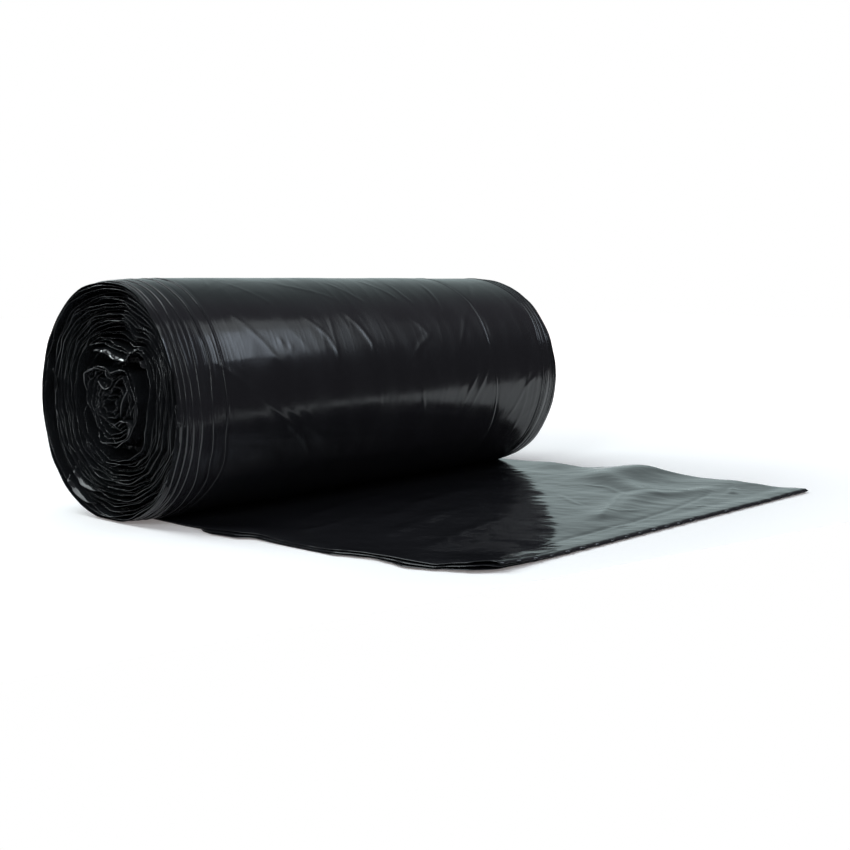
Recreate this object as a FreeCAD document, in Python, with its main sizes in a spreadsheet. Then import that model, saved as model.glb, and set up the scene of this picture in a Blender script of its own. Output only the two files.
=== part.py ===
import FreeCAD, Part
import math
import os

import Sketcher
from FreeCAD import Placement, Rotation, Vector

# Roll of bin bags, in millimetres.
#
# The bags are one flat-folded tube of film, joined end to end by rows of
# perforation and wound without a core.  The roll lies on its side along X and
# the first bag is pulled out flat over the floor towards -Y, so the film runs
# from the torn edge along the floor, under the roll, up its back and inwards.
# The origin is on the floor, under the middle of the roll.

SIZES = {
    # The wound roll
    "roll_diameter": 101.4,  # over the outermost ply
    "roll_length": 249.0,  # over the inner turns, which reach furthest out
    "flat_depth": 1.0,  # how far the soft roll is flattened where it rests
    "ply_step": 0.25,  # rise in radius from one ply edge to the next
    # Folded edges of the outer plies, each measured from the end that it is near
    "left_edge_1": 22.5,
    "left_edge_2": 15.5,
    "left_edge_3": 10.5,
    "left_edge_4": 6.0,
    "right_edge_1": 55.5,
    "right_edge_2": 14.5,
    "right_edge_3": 9.0,
    # The turns that show at both ends
    "turn_pitch": 3.4,
    "turn_gap": 0.8,
    "gap_depth": 12.0,  # how far in from the end faces the gaps between turns reach
    "rim_width": 3.2,  # tightly wound outer turns, beyond the last gap
    "core_radius": 3.0,  # start of the innermost turn
    "core_shift": 3.0,  # the core has slumped this far towards the front
    "loose_gap": 4.2,  # the collapsed core has come away from the turn round it
    "notch_depth": 2.6,  # dent that the turns pass on to each other
    # The first bag, pulled out flat
    "web_thickness": 1.0,  # eight plies of film and the air between them
    "web_left_root": 111.0,
    "web_right_root": 124.0,
    "web_left_end": 101.0,
    "web_right_end": 133.5,
    "web_length": 177.0,  # from the middle of the roll to the torn edge's near corner
    "web_skew": 2.2,  # degrees between the torn edge and the roll's axis
    "web_tuck": 6.0,  # the flat web reaches this far back under the roll
    "web_run": 22.0,  # and this far forward before it starts to buckle
    "hump_height": 3.8,  # buckle at the far edge
    "curl_height": 4.0,  # lifted near corner
    "ridge_height": 1.8,  # low ridges that run from the buckle towards the torn edge
    # The torn edge
    "perforation_pitch": 9.3,
    "perforation_width": 2.2,
    "perforation_depth": 1.3,
    "seal_inset": 12.0,  # the bag's bottom seal lies this far in from the torn edge
    "seal_width": 3.0,
    "seal_depth": 0.4,
}

LOOSE_TURN = 4.0  # the turn round the collapsed core, counted from the middle
HEART_BEARING = math.radians(75)  # the core is dented here, like a heart
NOTCH_BEARING = math.radians(62)
NOTCH_RADIUS = 30.0  # the dent is deepest here and fades both ways
NOTCH_FADE = 9.0
FACETS_PER_TURN = 28  # each wall of the gap is made of flat facets
OVERRUN = 1.0  # how far a cutting shape stands out of what it cuts
HEADROOM = 30.0  # height of the shape that trims the pulled-out web

# The first bag's ripples, as places (X, Y) in its plane
HUMP_PLACE = (128.0, -96.0)
RIDGES = (
    ((112.0, -78.0), (80.0, -134.0)),
    ((80.0, -134.0), (0.0, -156.0)),
    ((118.0, -150.0), (86.0, -146.0)),
)
POLE_SPACING = 12.0  # of the surface that the ripples are made with
TORN_EDGE = "(Sizes.web_left_end + Sizes.web_right_end) / cos(Sizes.web_skew)"

doc = FreeCAD.newDocument("BinBagRoll")
sheet = doc.addObject("Spreadsheet::Sheet", "Sizes")
for row, (alias, value) in enumerate(SIZES.items(), start=1):
    sheet.set(f"A{row}", alias)
    sheet.set(f"B{row}", str(value))
    sheet.setAlias(f"B{row}", alias)
doc.recompute()


def size(alias):
    """The number in the sheet's cell of that name."""
    return float(getattr(sheet, alias))


def origin_plane(body, role):
    """One of a body's own three base planes."""
    return next(f for f in body.Origin.OriginFeatures if f.Role == role)


def outline_sketch(body, name, plane, corners):
    """A closed outline of straight lines, whose corners are pairs of expressions."""
    sketch = body.newObject("Sketcher::SketchObject", name)
    sketch.AttachmentSupport = [(origin_plane(body, plane), "")]
    sketch.MapMode = "FlatFace"
    count = len(corners)
    rough = []
    for i in range(count):
        turn = 2 * math.pi * i / count
        rough.append(Vector(50 * math.cos(turn), 50 * math.sin(turn), 0))
    for i in range(count):
        sketch.addGeometry(Part.LineSegment(rough[i], rough[(i + 1) % count]), False)
    for i in range(count):
        sketch.addConstraint(Sketcher.Constraint("Coincident", i, 2, (i + 1) % count, 1))
    for i, (x, y) in enumerate(corners):
        for kind, value, expression in (("DistanceX", rough[i].x, x), ("DistanceY", rough[i].y, y)):
            index = sketch.addConstraint(Sketcher.Constraint(kind, -1, 1, i, 1, value))
            sketch.setExpression(f"Constraints[{index}]", expression)
    return sketch


def torn_edge_sketch(body, name, corners):
    """An outline measured from the torn edge's near corner, along the edge and in from it."""
    sketch = outline_sketch(body, name, "XY_Plane", corners)
    sketch.setExpression("AttachmentOffset.Base.x", "-Sizes.web_left_end")
    sketch.setExpression("AttachmentOffset.Base.y", "-Sizes.web_length")
    sketch.setExpression("AttachmentOffset.Rotation.Angle", "-Sizes.web_skew")
    return sketch


def pad(body, name, profile, length):
    """A pad of a sketch, as high as the expression says."""
    feature = body.newObject("PartDesign::Pad", name)
    feature.Profile = profile
    feature.setExpression("Length", length)
    return feature


def wound_plies():
    """The roll as a solid of revolution, with the folded edges of its outer plies as steps."""
    body = doc.addObject("PartDesign::Body", "WoundPlies")
    left, right = "-Sizes.roll_length / 2", "Sizes.roll_length / 2"
    radius = "Sizes.roll_diameter / 2"
    steps = [(left, "0")]
    steps.append((left, f"{radius} - 4 * Sizes.ply_step"))
    for edge, below in ((4, 3), (3, 2), (2, 1), (1, 0)):
        x = f"{left} + Sizes.left_edge_{edge}"
        steps.append((x, f"{radius} - {below + 1} * Sizes.ply_step"))
        steps.append((x, f"{radius} - {below} * Sizes.ply_step"))
    for edge, above in ((1, 0), (2, 1), (3, 2)):
        x = f"{right} - Sizes.right_edge_{edge}"
        steps.append((x, f"{radius} - {above} * Sizes.ply_step"))
        steps.append((x, f"{radius} - {above + 1} * Sizes.ply_step"))
    steps.append((right, f"{radius} - 3 * Sizes.ply_step"))
    steps.append((right, "0"))
    profile = outline_sketch(body, "PlyEdges", "XZ_Plane", steps)
    turned = body.newObject("PartDesign::Revolution", "Plies")
    turned.Profile = profile
    turned.ReferenceAxis = (profile, ["H_Axis"])
    turned.Angle = 360
    body.setExpression(".Placement.Base.z", "Sizes.roll_diameter / 2 - Sizes.flat_depth")
    return body


def bell(x, width):
    """A smooth bell of height 1 at x = 0."""
    return math.exp(-((x / width) ** 2))


def smooth_step(x):
    """Rises smoothly from 0 at x = 0 to 1 at x = 1."""
    x = min(max(x, 0.0), 1.0)
    return x * x * (3 - 2 * x)


def off(bearing, centre):
    """Angle from one bearing to another, between -pi and pi."""
    return math.remainder(bearing - centre, 2 * math.pi)


def gap_turns():
    """How many turns the gap makes between the core and the tightly wound rim."""
    end_face_radius = size("roll_diameter") / 2 - 4 * size("ply_step")
    room = end_face_radius - size("rim_width") - 1.5 * size("turn_gap")
    room -= size("core_radius") + size("loose_gap")
    return room / size("turn_pitch")


def gap_width(turn, bearing):
    """Width of the gap: slack here and tight there, and open above and below the core."""
    width = size("turn_gap") * (1 + 0.5 * math.sin(2.3 * bearing + 1))
    width += 0.8 * size("loose_gap") * bell(turn - LOOSE_TURN, 0.45) * math.sin(bearing) ** 2
    ends = min(smooth_step(4 * turn), smooth_step(4 * (gap_turns() - turn)))
    return width * (0.3 + 0.7 * ends)


def gap_point(turn, outer):
    """A point of the gap's inner or outer wall, so many turns from the core, seen along +X."""
    bearing = 2 * math.pi * turn
    radius = size("core_radius") + size("turn_pitch") * turn
    radius += size("loose_gap") * smooth_step(turn - LOOSE_TURN + 0.5)
    if outer:
        radius += gap_width(turn, bearing)
    in_core = 1 - smooth_step((radius - 10) / 14)
    heart = 0.12 * math.cos(2 * bearing - 0.6) - 0.08 * math.cos(3 * bearing)
    heart -= 0.42 * bell(off(bearing, HEART_BEARING), 0.36)
    dent = bell(off(bearing, NOTCH_BEARING), 0.17)
    dent -= 0.4 * bell(off(bearing, NOTCH_BEARING + 0.36), 0.16)
    faceted = 1 - smooth_step((radius - 34) / 10)
    shaped = radius * (1 + in_core * heart + 0.012 * faceted * math.cos(7 * bearing + 0.9 * turn))
    shaped -= size("notch_depth") * dent * bell(radius - NOTCH_RADIUS, NOTCH_FADE)
    slump = size("core_shift") * (1 - smooth_step(radius / (size("roll_diameter") / 2 - size("rim_width"))))
    centre = size("roll_diameter") / 2 - size("flat_depth")
    return Vector(0, -slump - shaped * math.cos(bearing), centre - slump / 3 + shaped * math.sin(bearing))


def gap_wall(outer):
    """One wall of the gap, as straight edges that get finer outwards from the core."""
    turns = gap_turns()
    count = math.ceil(turns * FACETS_PER_TURN)
    points = [gap_point(turns * (i / count) ** 0.8, outer) for i in range(count + 1)]
    return [Part.LineSegment(a, b).toShape() for a, b in zip(points, points[1:])]


def gap_between_turns(name, x):
    """The spiral gap at one end of the roll, which starts at x and runs towards +X."""
    profile = doc.addObject("Part::Feature", f"{name}Outline")
    turns = gap_turns()
    start = Part.LineSegment(gap_point(0, True), gap_point(0, False)).toShape()
    end = Part.LineSegment(gap_point(turns, False), gap_point(turns, True)).toShape()
    profile.Shape = Part.Face(Part.Wire(gap_wall(False) + [end] + gap_wall(True)[::-1] + [start]))
    profile.Placement = Placement(Vector(x, 0, 0), Rotation())
    gap = doc.addObject("Part::Extrusion", name)
    gap.Base = profile
    gap.DirMode = "Custom"
    gap.Dir = Vector(1, 0, 0)
    gap.setExpression("LengthFwd", f"Sizes.gap_depth + {OVERRUN}")
    gap.Solid = True
    return gap


def below_floor():
    """The space below the floor, which takes the flat off the roll's underside."""
    box = doc.addObject("Part::Box", "BelowFloor")
    box.setExpression("Length", "Sizes.roll_length * 2")
    box.setExpression("Width", "Sizes.roll_diameter")
    box.setExpression("Height", "Sizes.roll_diameter")
    box.setExpression("Placement.Base.x", "-Sizes.roll_length")
    box.setExpression("Placement.Base.y", "-Sizes.roll_diameter / 2")
    box.setExpression("Placement.Base.z", "-Sizes.roll_diameter")
    return box


def fused(name, pieces):
    """Pieces joined into one."""
    union = doc.addObject("Part::MultiFuse", name)
    union.Shapes = pieces
    return union


def boolean(kind, name, base, tool):
    """A Part::Cut or Part::Common of two pieces."""
    feature = doc.addObject(kind, name)
    feature.Base = base
    feature.Tool = tool
    return feature


def wound_roll():
    """The roll with its gaps and its flat."""
    left = gap_between_turns("LeftGap", -size("roll_length") / 2 - OVERRUN)
    right = gap_between_turns("RightGap", size("roll_length") / 2 - size("gap_depth"))
    taken = fused("TakenFromRoll", [left, right, below_floor()])
    return boolean("Part::Cut", "WoundRoll", wound_plies(), taken)


def from_line(x, y, line):
    """Distance of a place from a straight line between two places."""
    (ax, ay), (bx, by) = line
    along = ((x - ax) * (bx - ax) + (y - ay) * (by - ay)) / math.dist((ax, ay), (bx, by)) ** 2
    along = min(max(along, 0.0), 1.0)
    return math.dist((x, y), (ax + along * (bx - ax), ay + along * (by - ay)))


def ripple_height(x, y):
    """How high the film lies above the floor, at a place in the first bag's plane."""
    flat = smooth_step((-y - size("web_run") - POLE_SPACING) / (2 * POLE_SPACING))
    hump = size("hump_height") * bell(y - HUMP_PLACE[1], 17) * smooth_step((x - 78) / 45)
    corner = (-size("web_left_end"), -size("web_length"))
    curl = size("curl_height") * bell(math.dist((x, y), corner), 30)
    ridges = sum(bell(from_line(x, y, line), 11) for line in RIDGES)
    edge = 0.4 * (1 - math.cos(y / 9)) * (bell(x + 105, 25) + bell(x - 130, 30))
    return flat * (hump + curl + size("ridge_height") * ridges + edge)


def ripple_surface():
    """The rippled underside of the pulled-out film, larger than the bag on all free sides."""
    reach = size("web_length") + 40
    wide = max(size("web_left_root"), size("web_left_end")) + 20
    across = wide + max(size("web_right_root"), size("web_right_end")) + 20
    columns = math.ceil(across / POLE_SPACING) + 1
    rows = math.ceil((reach - size("web_run")) / POLE_SPACING) + 1
    poles = []
    for i in range(columns):
        x = -wide + across * i / (columns - 1)
        ys = [-size("web_run") - (reach - size("web_run")) * j / (rows - 1) for j in range(rows)]
        poles.append([Vector(x, y, ripple_height(x, y)) for y in ys])
    surface = Part.BSplineSurface()
    inner_u = list(range(columns - 2))
    inner_v = list(range(rows - 2))
    surface.buildFromPolesMultsKnots(
        poles,
        [4] + [1] * (len(inner_u) - 2) + [4],
        [4] + [1] * (len(inner_v) - 2) + [4],
        inner_u,
        inner_v,
        False,
        False,
        3,
        3,
    )
    return surface.toShape()


def film_sheet(name, shape, lift, height):
    """A layer of the rippled film, lifted off its underside and as thick as the expression says."""
    underside = doc.addObject("Part::Feature", f"{name}Underside")
    underside.Shape = shape
    underside.Placement = Placement(Vector(0, 0, lift), Rotation())
    sheet_solid = doc.addObject("Part::Extrusion", name)
    sheet_solid.Base = underside
    sheet_solid.DirMode = "Custom"
    sheet_solid.Dir = Vector(0, 0, 1)
    sheet_solid.setExpression("LengthFwd", height)
    sheet_solid.Solid = True
    return sheet_solid


def web_run():
    """The flat film under the roll and just in front of it."""
    box = doc.addObject("Part::Box", "WebRun")
    box.setExpression("Length", "Sizes.web_left_root + Sizes.web_right_root + 40")
    box.setExpression("Width", "Sizes.web_tuck + Sizes.web_run")
    box.setExpression("Height", "Sizes.web_thickness")
    box.setExpression("Placement.Base.x", "-Sizes.web_left_root - 20")
    box.setExpression("Placement.Base.y", "-Sizes.web_run")
    return box


def bag_outline():
    """A block over the first bag's outline, with the row of perforations along its torn edge."""
    body = doc.addObject("PartDesign::Body", "BagOutline")
    corners = [
        ("-Sizes.web_left_root", "Sizes.web_tuck"),
        ("-Sizes.web_left_root", "0"),
        ("-Sizes.web_left_end", "-Sizes.web_length"),
        (
            "Sizes.web_right_end",
            "-Sizes.web_length - (Sizes.web_left_end + Sizes.web_right_end) * tan(Sizes.web_skew)",
        ),
        ("Sizes.web_right_root", "0"),
        ("Sizes.web_right_root", "Sizes.web_tuck"),
    ]
    pad(body, "BagBlock", outline_sketch(body, "BagCorners", "XY_Plane", corners), f"{HEADROOM}")
    first = "Sizes.perforation_pitch / 2"
    slit = [
        (first, f"-{OVERRUN}"),
        (f"{first} + Sizes.perforation_width", f"-{OVERRUN}"),
        (f"{first} + Sizes.perforation_width / 2", "Sizes.perforation_depth"),
    ]
    perforation = body.newObject("PartDesign::Pocket", "Perforation")
    perforation.Profile = torn_edge_sketch(body, "PerforationCorners", slit)
    perforation.Type = "ThroughAll"
    perforation.Reversed = True
    row = body.newObject("PartDesign::LinearPattern", "Perforations")
    row.Originals = [perforation]
    row.Direction = (perforation.Profile[0], ["H_Axis"])
    count = f"floor(({TORN_EDGE} - Sizes.perforation_width) / Sizes.perforation_pitch)"
    row.setExpression("Occurrences", count)
    row.setExpression("Length", f"({count} - 1) * Sizes.perforation_pitch")
    body.Tip = row
    return body


def seal_strip():
    """A block over the bag's bottom seal, along the torn edge."""
    body = doc.addObject("PartDesign::Body", "SealStrip")
    beyond = f"{TORN_EDGE} + {HEADROOM}"
    corners = [
        (f"-{HEADROOM}", "Sizes.seal_inset"),
        (beyond, "Sizes.seal_inset"),
        (beyond, "Sizes.seal_inset + Sizes.seal_width"),
        (f"-{HEADROOM}", "Sizes.seal_inset + Sizes.seal_width"),
    ]
    pad(body, "SealBlock", torn_edge_sketch(body, "SealCorners", corners), f"{HEADROOM}")
    return body


def first_bag():
    """The bag that is pulled out flat over the floor."""
    surface = ripple_surface()
    film = film_sheet("RippledFilm", surface, 0, "Sizes.web_thickness")
    trimmed = boolean("Part::Common", "TrimmedBag", fused("Web", [web_run(), film]), bag_outline())
    pressed = size("web_thickness") - size("seal_depth")
    above = film_sheet("AboveSeal", surface, pressed, f"Sizes.seal_depth + {OVERRUN}")
    seal = boolean("Part::Common", "SealGroove", above, seal_strip())
    return boolean("Part::Cut", "FirstBag", trimmed, seal)


bag_roll = fused("BagRoll", [wound_roll(), first_bag()])
bag_roll.Label = "bag_roll"
doc.recompute()

for item in doc.Objects:
    if "Invalid" in item.State or "Error" in item.State:
        raise RuntimeError(f"{item.Label}: {item.State}")
    shape = getattr(item, "Shape", None)
    if shape is not None and (shape.isNull() or not shape.isValid()):
        raise RuntimeError(f"{item.Label} has no valid shape")
if len(bag_roll.Shape.Solids) != 1:
    raise RuntimeError("the roll and its first bag must be one solid")

os.makedirs("parts", exist_ok=True)
bag_roll.Shape.exportStep(f"parts/{bag_roll.Label}.step")
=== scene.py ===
import logging
import math
from collections.abc import Callable
from dataclasses import dataclass, field
from enum import Enum
from typing import Any

import bmesh
import bpy
from mathutils import Matrix, Vector, noise


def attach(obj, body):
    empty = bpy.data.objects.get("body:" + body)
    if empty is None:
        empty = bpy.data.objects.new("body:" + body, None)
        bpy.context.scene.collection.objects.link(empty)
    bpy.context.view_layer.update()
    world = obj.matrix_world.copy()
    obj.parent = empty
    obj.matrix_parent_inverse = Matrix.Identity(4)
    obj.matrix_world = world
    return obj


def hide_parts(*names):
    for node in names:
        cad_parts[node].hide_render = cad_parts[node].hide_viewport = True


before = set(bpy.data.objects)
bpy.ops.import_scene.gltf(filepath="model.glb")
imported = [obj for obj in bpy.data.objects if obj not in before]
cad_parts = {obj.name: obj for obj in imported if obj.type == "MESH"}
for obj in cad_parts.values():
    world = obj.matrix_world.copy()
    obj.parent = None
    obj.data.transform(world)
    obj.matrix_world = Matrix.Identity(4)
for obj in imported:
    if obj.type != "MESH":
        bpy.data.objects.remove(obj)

logging.basicConfig(level=logging.INFO, format="%(name)s: %(message)s")
log = logging.getLogger("bin_bag_roll")

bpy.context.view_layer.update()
MM = 0.001

Point = tuple[float, float]
Corners = tuple[Point, ...]


# Finishes


def linear(hex_colour: str) -> tuple[float, float, float, float]:
    """Turn a colour written as sRGB hex into linear light.

    Args:
        hex_colour: six hex digits after a hash.

    Returns:
        Red, green, blue and an alpha of one.
    """
    channels = [int(hex_colour[i : i + 2], 16) / 255 for i in (1, 3, 5)]
    red, green, blue = [c / 12.92 if c <= 0.04045 else ((c + 0.055) / 1.055) ** 2.4 for c in channels]
    return red, green, blue, 1.0


def add_node(
    tree: bpy.types.NodeTree, kind: str, inputs: dict[str | int, Any] | None = None, **settings: Any
) -> bpy.types.Node:
    """Add a node with its settings, input values and links.

    Args:
        tree: the node tree that it goes into.
        kind: Blender's name of the node's type.
        inputs: for each input, its value or the socket that feeds it.
        settings: the node's own properties.

    Returns:
        The new node.
    """
    node = tree.nodes.new(kind)
    for name, value in settings.items():
        setattr(node, name, value)
    for name, value in (inputs or {}).items():
        if isinstance(value, bpy.types.NodeSocket):
            tree.links.new(value, node.inputs[name])
        else:
            node.inputs[name].default_value = value
    return node


class Grain(Enum):
    """Which way the film was pulled tight, as the angle that its fine creases make with the roll's axis."""

    ROUND_THE_ROLL = 90.0
    ALONG_THE_BAG = 62.0
    ALONG_THE_TURNS = 0.0


@dataclass(frozen=True)
class BlackFilm:
    """Blown low-density polyethylene film, carbon black, wound tight.

    Film from a blown tube is smooth and glossy, so it shows soft, slightly wavy reflections.  Winding
    pulls it into long shallow creases, and handling leaves fine ones and duller scuffs.
    """

    name: str
    grain: Grain
    colour: str = "#1a1a1d"
    worn_colour: str = "#212124"
    ior: float = 1.51
    roughness: float = 0.16
    scuffed: float = 0.26
    crease_spacing: float = 7.0 * MM
    crease_length: float = 60.0 * MM
    crease_height: float = 0.09 * MM
    slack_size: float = 34.0 * MM
    slack_height: float = 0.25 * MM
    pucker_size: float = 2.4 * MM
    pucker_height: float = 0.012 * MM

    def material(self) -> bpy.types.Material:
        """Build the film's material, which reads the piece's own map of the flat film in metres.

        Returns:
            The material.
        """
        made = bpy.data.materials.new(self.name)
        made.use_nodes = True
        tree = made.node_tree
        tree.nodes.clear()
        film_map = add_node(tree, "ShaderNodeUVMap", uv_map="film").outputs["UV"]

        def pattern(spacing: float, length: float, kind: str, detail: float = 3.0) -> bpy.types.NodeSocket:
            """A noise pattern whose features are so wide and so long, along the film's grain."""
            turned = add_node(
                tree,
                "ShaderNodeMapping",
                {"Vector": film_map, "Rotation": (0, 0, -math.radians(self.grain.value))},
            ).outputs[0]
            stretched = add_node(
                tree, "ShaderNodeMapping", {"Vector": turned, "Scale": (1 / length, 1 / spacing, 1)}
            ).outputs[0]
            texture = add_node(
                tree,
                "ShaderNodeTexNoise",
                {"Vector": stretched, "Scale": 1.0, "Detail": detail, "Roughness": 0.45},
                noise_type=kind,
            )
            return texture.outputs[0]

        def raised(height: bpy.types.NodeSocket, metres: float, below: Any = None) -> bpy.types.NodeSocket:
            """A bump of so many metres over another one."""
            inputs = {"Height": height, "Distance": metres, "Strength": 1.0}
            if below is not None:
                inputs["Normal"] = below
            return add_node(tree, "ShaderNodeBump", inputs).outputs[0]

        slack = pattern(self.slack_size, self.slack_size * 1.6, "FBM", 1.0)
        creases = pattern(self.crease_spacing, self.crease_length, "RIDGED_MULTIFRACTAL", 2.0)
        hair = pattern(self.crease_spacing * 0.3, self.crease_length * 0.45, "RIDGED_MULTIFRACTAL", 2.0)
        pucker = pattern(self.pucker_size, self.pucker_size, "FBM", 2.0)
        scuffs = pattern(9 * MM, 26 * MM, "FBM", 4.0)
        normal = raised(slack, self.slack_height)
        normal = raised(creases, self.crease_height, normal)
        normal = raised(hair, self.crease_height * 0.3, normal)
        normal = raised(pucker, self.pucker_height, normal)
        dullness = add_node(
            tree,
            "ShaderNodeMapRange",
            {
                "Value": scuffs,
                "From Min": 0.42,
                "From Max": 0.72,
                "To Min": self.roughness,
                "To Max": self.scuffed,
            },
        ).outputs[0]
        colour = add_node(
            tree,
            "ShaderNodeMix",
            {0: scuffs, 6: linear(self.colour), 7: linear(self.worn_colour)},
            data_type="RGBA",
        ).outputs[2]
        shader = add_node(
            tree,
            "ShaderNodeBsdfPrincipled",
            {"Base Color": colour, "Roughness": dullness, "IOR": self.ior, "Normal": normal},
        )
        add_node(tree, "ShaderNodeOutputMaterial", {"Surface": shader.outputs[0]})
        return made


@dataclass(frozen=True)
class WhiteTable:
    """A sheet of matt white laminate under the object, lit to white by the studio."""

    colour: str = "#f4f4f4"
    shine_colour: str = "#fff4f2"
    shine_near: float = 0.17
    shine_far: float = 1.0
    near: float = 0.2
    far: float = 0.8
    shine_in_gloss: float = 0.3

    def material(self) -> bpy.types.Material:
        """Build the table's material: matt, and lifted to white where it is looked at or reflected.

        Returns:
            The material.
        """
        made = bpy.data.materials.new("white_laminate")
        made.use_nodes = True
        tree = made.node_tree
        tree.nodes.clear()
        grain = add_node(
            tree,
            "ShaderNodeTexNoise",
            {"Vector": add_node(tree, "ShaderNodeTexCoord").outputs["Object"], "Scale": 400.0},
        ).outputs[0]
        normal = add_node(tree, "ShaderNodeBump", {"Height": grain, "Distance": 0.01 * MM}).outputs[0]
        matt = add_node(tree, "ShaderNodeBsdfDiffuse", {"Color": linear(self.colour), "Normal": normal})
        path = add_node(tree, "ShaderNodeLightPath")
        glossy = add_node(
            tree,
            "ShaderNodeMath",
            {0: path.outputs["Is Glossy Ray"], 1: self.shine_in_gloss},
            operation="MULTIPLY",
        ).outputs[0]
        seen = path.outputs["Is Camera Ray"]
        for ray in (path.outputs["Is Transmission Ray"], glossy):
            seen = add_node(tree, "ShaderNodeMath", {0: seen, 1: ray}, operation="MAXIMUM").outputs[0]
        place = add_node(tree, "ShaderNodeTexCoord").outputs["Object"]
        distance = add_node(tree, "ShaderNodeVectorMath", {0: place}, operation="LENGTH").outputs["Value"]
        shine = add_node(
            tree,
            "ShaderNodeMapRange",
            {
                "Value": distance,
                "From Min": self.near,
                "From Max": self.far,
                "To Min": self.shine_near,
                "To Max": self.shine_far,
            },
        ).outputs[0]
        lifted = add_node(tree, "ShaderNodeMath", {0: seen, 1: shine}, operation="MULTIPLY")
        glow = add_node(
            tree,
            "ShaderNodeEmission",
            {"Color": linear(self.shine_colour), "Strength": lifted.outputs[0]},
        )
        both = add_node(tree, "ShaderNodeAddShader", {0: matt.outputs[0], 1: glow.outputs[0]})
        add_node(tree, "ShaderNodeOutputMaterial", {"Surface": both.outputs[0]})
        return made


# Shared shapes


def smooth_step(x: float) -> float:
    """Rise smoothly from 0 at x = 0 to 1 at x = 1."""
    x = min(max(x, 0.0), 1.0)
    return x * x * (3 - 2 * x)


def bell(x: float) -> float:
    """A smooth bell of height 1 at x = 0."""
    return math.exp(-x * x)


def between(x: float, stops: Corners) -> float:
    """Read a line drawn through stops, each an x and its value, sorted by x."""
    if x <= stops[0][0]:
        return stops[0][1]
    for (xa, va), (xb, vb) in zip(stops, stops[1:]):
        if x <= xb:
            return va + (vb - va) * smooth_step((x - xa) / (xb - xa))
    return stops[-1][1]


@dataclass(frozen=True)
class Crease:
    """A long crease in the film, drawn through places on the flat film, in millimetres."""

    places: Corners
    height: float
    width: float

    def relief(self, x: float, y: float) -> float:
        """How far the crease lifts the film at a place, fading out towards its two ends.

        Args:
            x: across the web.
            y: along the web.

        Returns:
            Height in millimetres.
        """
        reach = 3 * self.width
        if not min(p[0] for p in self.places) - reach < x < max(p[0] for p in self.places) + reach:
            return 0.0
        if not min(p[1] for p in self.places) - reach < y < max(p[1] for p in self.places) + reach:
            return 0.0
        nearest, along = math.inf, 0.0
        runs = len(self.places) - 1
        for i, ((xa, ya), (xb, yb)) in enumerate(zip(self.places, self.places[1:])):
            dx, dy = xb - xa, yb - ya
            part = min(max(((x - xa) * dx + (y - ya) * dy) / (dx * dx + dy * dy), 0.0), 1.0)
            distance = math.hypot(x - xa - part * dx, y - ya - part * dy)
            if distance < nearest:
                nearest, along = distance, (i + part) / runs
        fade = smooth_step(4 * along) * smooth_step(4 * (1 - along))
        return self.height * bell(nearest / self.width) * (0.15 + 0.85 * fade)


def mapped_grid(
    name: str,
    columns: int,
    rows: int,
    extent: tuple[float, float],
    place: Callable[[float, float], Vector],
    closed: bool = False,
    shares: tuple[float, ...] = (),
) -> bpy.types.Object:
    """Lay a grid of film over a surface, with a map of the flat film in metres.

    Args:
        name: the object's name.
        columns: faces across the web.
        rows: faces along the web.
        extent: the flat film's width and length in millimetres.
        place: gives the place in millimetres for two shares from 0 to 1, across and along.
        closed: whether the first and last rows meet.
        shares: where each column lies on the flat film, from 0 to 1, if they are uneven.

    Returns:
        The new object, at the origin.
    """
    mesh = bpy.data.meshes.new(name)
    shape = bmesh.new()
    uv = shape.loops.layers.uv.new("film")
    bmesh.ops.create_grid(shape, x_segments=columns, y_segments=rows, size=0.5, calc_uvs=False)
    for face in shape.faces:
        face.smooth = True
        for loop in face.loops:
            across, along = loop.vert.co.x + 0.5, loop.vert.co.y + 0.5
            across = shares[round(across * columns)] if shares else across
            loop[uv].uv = (across * extent[0] * MM, along * extent[1] * MM)
    for vertex in shape.verts:
        vertex.co = place(vertex.co.x + 0.5, vertex.co.y + 0.5) * MM
    if closed:
        bmesh.ops.remove_doubles(shape, verts=shape.verts, dist=0.002 * MM)
    shape.to_mesh(mesh)
    shape.free()
    made = bpy.data.objects.new(name, mesh)
    bpy.context.collection.objects.link(made)
    return made


def dress(piece: bpy.types.Object, material: bpy.types.Material) -> None:
    """Give a piece its material and attach it to the body as part of the roll.

    Args:
        piece: the finished piece.
        material: its finish.
    """
    piece.data.materials.append(material)
    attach(piece, "root")
    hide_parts("bag_roll")
    log.info("%s: %d faces", piece.name, len(piece.data.polygons))


# The wound roll


@dataclass(frozen=True)
class RollForm:
    """The form that every part of the roll is measured from, in millimetres."""

    radius: float = 50.7
    half_length: float = 124.5
    flat: float = 1.0
    web_height: float = 0.9

    @property
    def centre(self) -> float:
        """Height of the roll's axis over the floor."""
        return self.radius - self.flat

    def shoulder(self, x: float, bearing: float) -> float:
        """How much the stacked ply edges round off the roll towards its ends, most at the left front.

        Args:
            x: along the axis.
            bearing: radians from the front.

        Returns:
            The drop in radius, in millimetres.
        """
        near_top = bell((bearing - math.pi / 2) / 0.7)
        end = smooth_step((abs(x) - self.half_length + 17) / 17)
        degrees = math.degrees(bearing)
        below = smooth_step((-degrees - 25) / 25) * smooth_step((180 + degrees) / 40) if bearing < 0 else 0.0
        drop = 2.0 + 1.4 * bell((bearing - 0.35) / 0.75) if x < 0 else 1.6
        return drop * end * (1 - 0.8 * near_top) * (1 - 0.75 * below)

    def place(self, x: float, bearing: float, radius: float) -> Vector:
        """A place on or in the roll.

        Args:
            x: along the axis.
            bearing: radians from the front, up over the top.
            radius: distance from the axis.

        Returns:
            The place, no lower than the film that the roll lies on.
        """
        height = self.centre + radius * math.sin(bearing)
        return Vector((x, -radius * math.cos(bearing), max(height, self.web_height)))


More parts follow.
